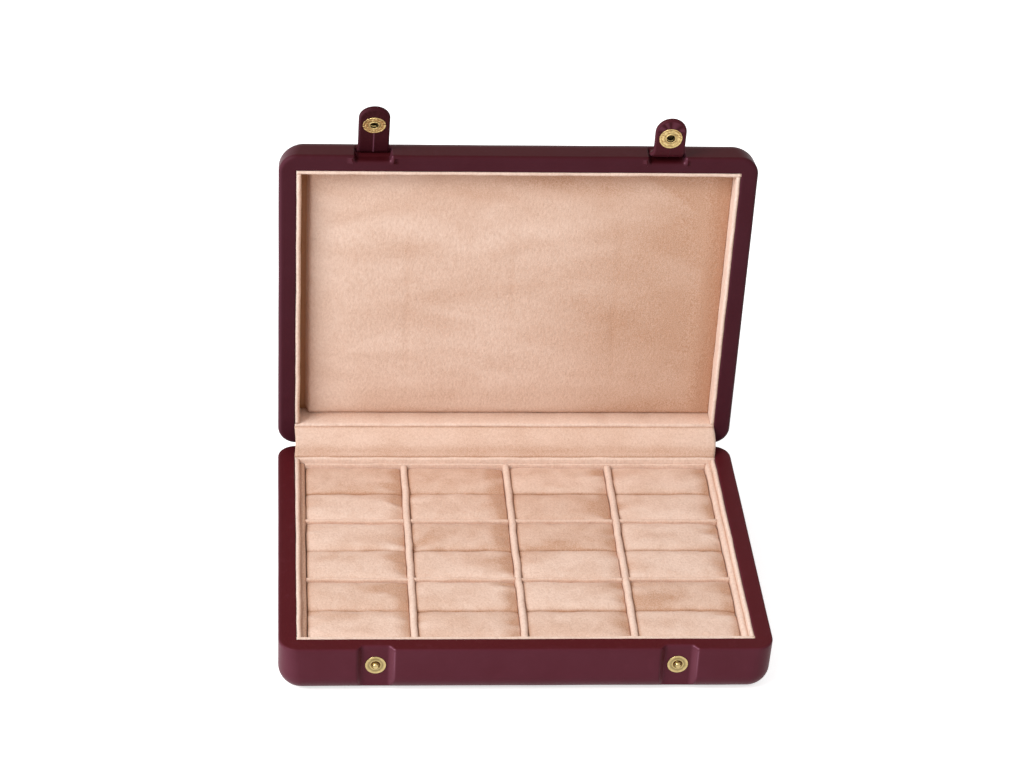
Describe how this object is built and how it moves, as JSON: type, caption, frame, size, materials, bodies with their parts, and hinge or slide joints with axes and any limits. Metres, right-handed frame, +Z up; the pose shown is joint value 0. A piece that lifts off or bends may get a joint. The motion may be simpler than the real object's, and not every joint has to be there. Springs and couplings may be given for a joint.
{
  "type": "ring display box",
  "caption": "Leather-covered case with a hinged lid, a suede lining and a tray of padded slots for finger rings, shut by snap straps.",
  "frame": {"origin": "on the surface that the case stands on, below the middle of the tray", "axes": "+X to the right along the front, +Y from the front to the hinge, +Z up"},
  "size_m": [0.2514, 0.2023, 0.2426],
  "materials": {
    "oxblood_leather": "smooth box calf, satin sheen",
    "lining_suede": "short-napped pale peach suede",
    "pad_suede": "short-napped pale peach suede over foam",
    "sole_suede": "dark suede, matt",
    "wood": "bare plywood, hidden",
    "pale_brass": "polished, lightly worn",
    "gilt_brass": "polished gilt"
  },
  "bodies": {
    "base": {"base_shell": "wood", "base_leather": "oxblood_leather", "base_sole": "sole_suede", "base_lining_front": "lining_suede", "base_lining_back": "lining_suede", "base_lining_left": "lining_suede", "base_lining_right": "lining_suede", "tray_floor": "lining_suede", "tray_frame": "lining_suede", "column_divider_1": "lining_suede", "column_divider_2": "lining_suede", "column_divider_3": "lining_suede", "cross_dividers_1": "lining_suede", "cross_dividers_2": "lining_suede", "cross_dividers_3": "lining_suede", "cross_dividers_4": "lining_suede", "ring_pad_1_1": "pad_suede", "ring_pad_1_2": "pad_suede", "ring_pad_1_3": "pad_suede", "ring_pad_1_4": "pad_suede", "ring_pad_2_1": "pad_suede", "ring_pad_2_2": "pad_suede", "ring_pad_2_3": "pad_suede", "ring_pad_2_4": "pad_suede", "ring_pad_3_1": "pad_suede", "ring_pad_3_2": "pad_suede", "ring_pad_3_3": "pad_suede", "ring_pad_3_4": "pad_suede", "ring_pad_4_1": "pad_suede", "ring_pad_4_2": "pad_suede", "ring_pad_4_3": "pad_suede", "ring_pad_4_4": "pad_suede", "ring_pad_5_1": "pad_suede", "ring_pad_5_2": "pad_suede", "ring_pad_5_3": "pad_suede", "ring_pad_5_4": "pad_suede", "ring_pad_6_1": "pad_suede", "ring_pad_6_2": "pad_suede", "ring_pad_6_3": "pad_suede", "ring_pad_6_4": "pad_suede", "snap_studs": "pale_brass", "hinge_gusset": "lining_suede", "hinge_spine": "oxblood_leather"},
    "lid": {"lid_shell": "wood", "lid_leather": "oxblood_leather", "lid_lining_front": "lining_suede", "lid_lining_back": "lining_suede", "lid_lining_left": "lining_suede", "lid_lining_right": "lining_suede", "lid_pad": "lining_suede", "strap_anchors": "oxblood_leather"},
    "strap_left": {"strap_left": "oxblood_leather", "snap_socket_left": "gilt_brass", "snap_cap_left": "gilt_brass", "snap_spring_left": "gilt_brass"},
    "strap_right": {"strap_right": "oxblood_leather", "snap_socket_right": "gilt_brass", "snap_cap_right": "gilt_brass", "snap_spring_right": "gilt_brass"}
  },
  "joints": [
    {"name": "lid_hinge", "type": "hinge", "parent": "base", "child": "lid", "pos_m": [0, 0.0915, 0.0305], "axis": [1, 0, 0], "range_deg": [0, 90], "deforming": ["hinge_gusset", "hinge_spine"]},
    {"name": "strap_left_bend", "type": "hinge", "parent": "lid", "child": "strap_left", "pos_m": [-0.0765, 0.1006, 0.2105], "axis": [1, 0, 0], "range_deg": [-47, 68]},
    {"name": "strap_right_bend", "type": "hinge", "parent": "lid", "child": "strap_right", "pos_m": [0.0772, 0.0929, 0.2105], "axis": [1, 0, 0], "range_deg": [-32, 83]}
  ]
}
